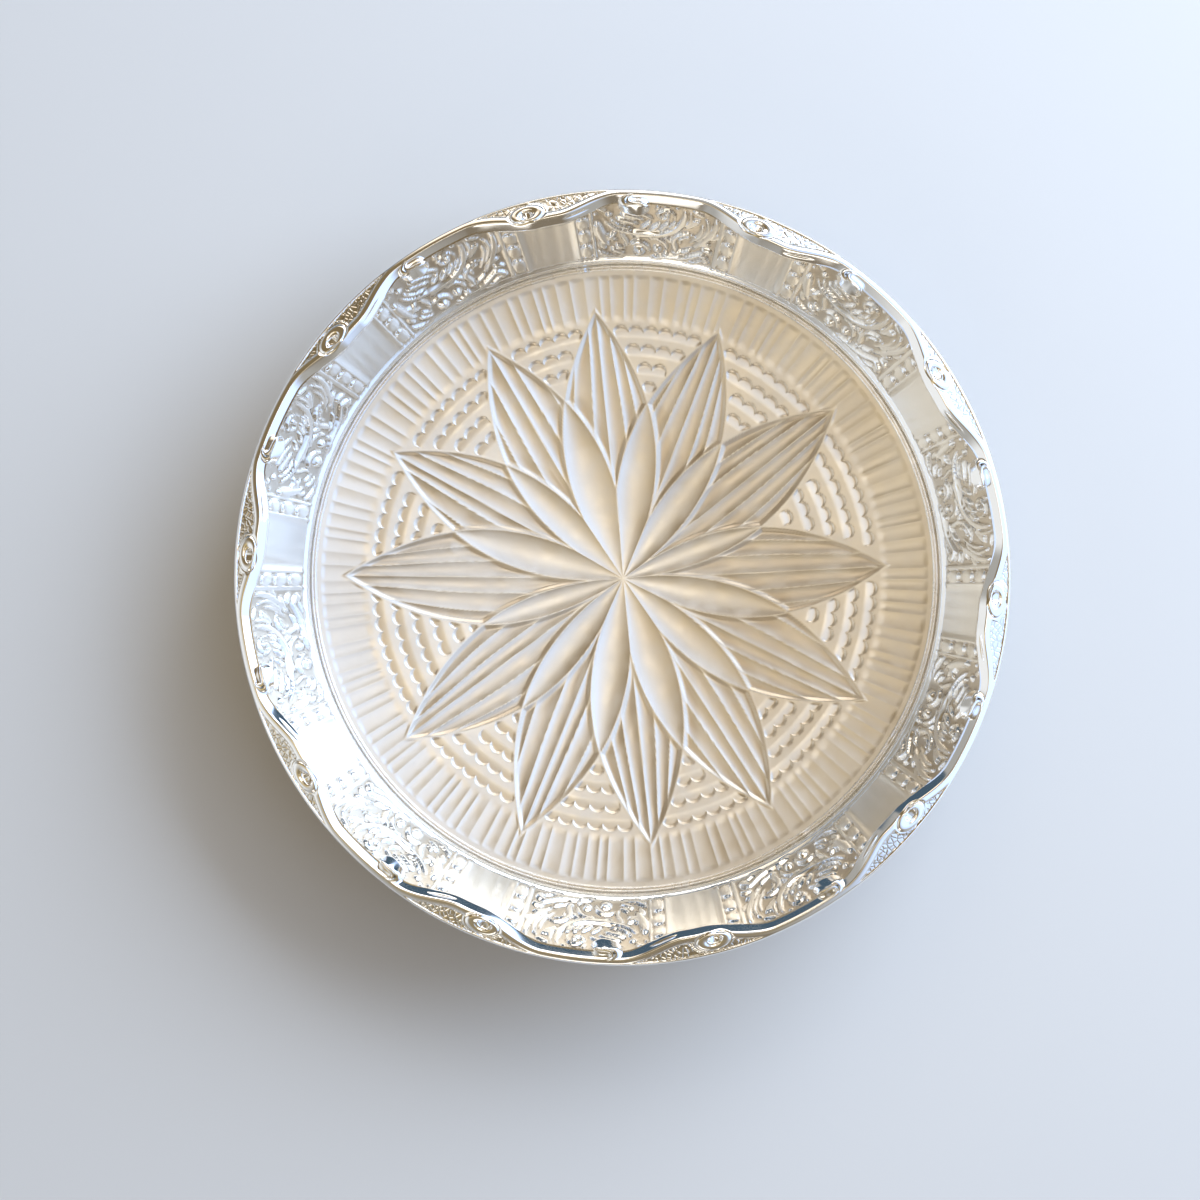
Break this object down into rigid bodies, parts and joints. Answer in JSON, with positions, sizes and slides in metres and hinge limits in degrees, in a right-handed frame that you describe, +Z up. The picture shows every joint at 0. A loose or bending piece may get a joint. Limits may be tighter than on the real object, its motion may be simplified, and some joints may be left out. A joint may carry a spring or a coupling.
{
  "type": "urli bowl",
  "caption": "Shallow round footed urli bowl in silver-plated brass, with a pressed flower floor, carved wall panels and a wavy scroll border.",
  "frame": {"origin": "centre of the foot ring's bottom face, where the bowl rests", "axes": "+Z up along the bowl's axis; +X and +Y across the bowl, with +Y towards the top of the picture"},
  "size_m": [0.254, 0.254, 0.0425],
  "materials": {
    "floor_silver": "satin silver plate on brass, warm",
    "wall_silver": "bright silver plate on brass, carved and satin panels",
    "rim_silver": "mirror-polished silver plate on brass, pebbled ground",
    "bead_silver": "bright silver plate on brass wire",
    "foot_silver": "plain polished silver plate on brass"
  },
  "bodies": {
    "root": {"floor_plate": "floor_silver", "panelled_wall": "wall_silver", "seam_bead": "bead_silver", "rim_border": "rim_silver", "foot_ring": "foot_silver"}
  },
  "joints": []
}
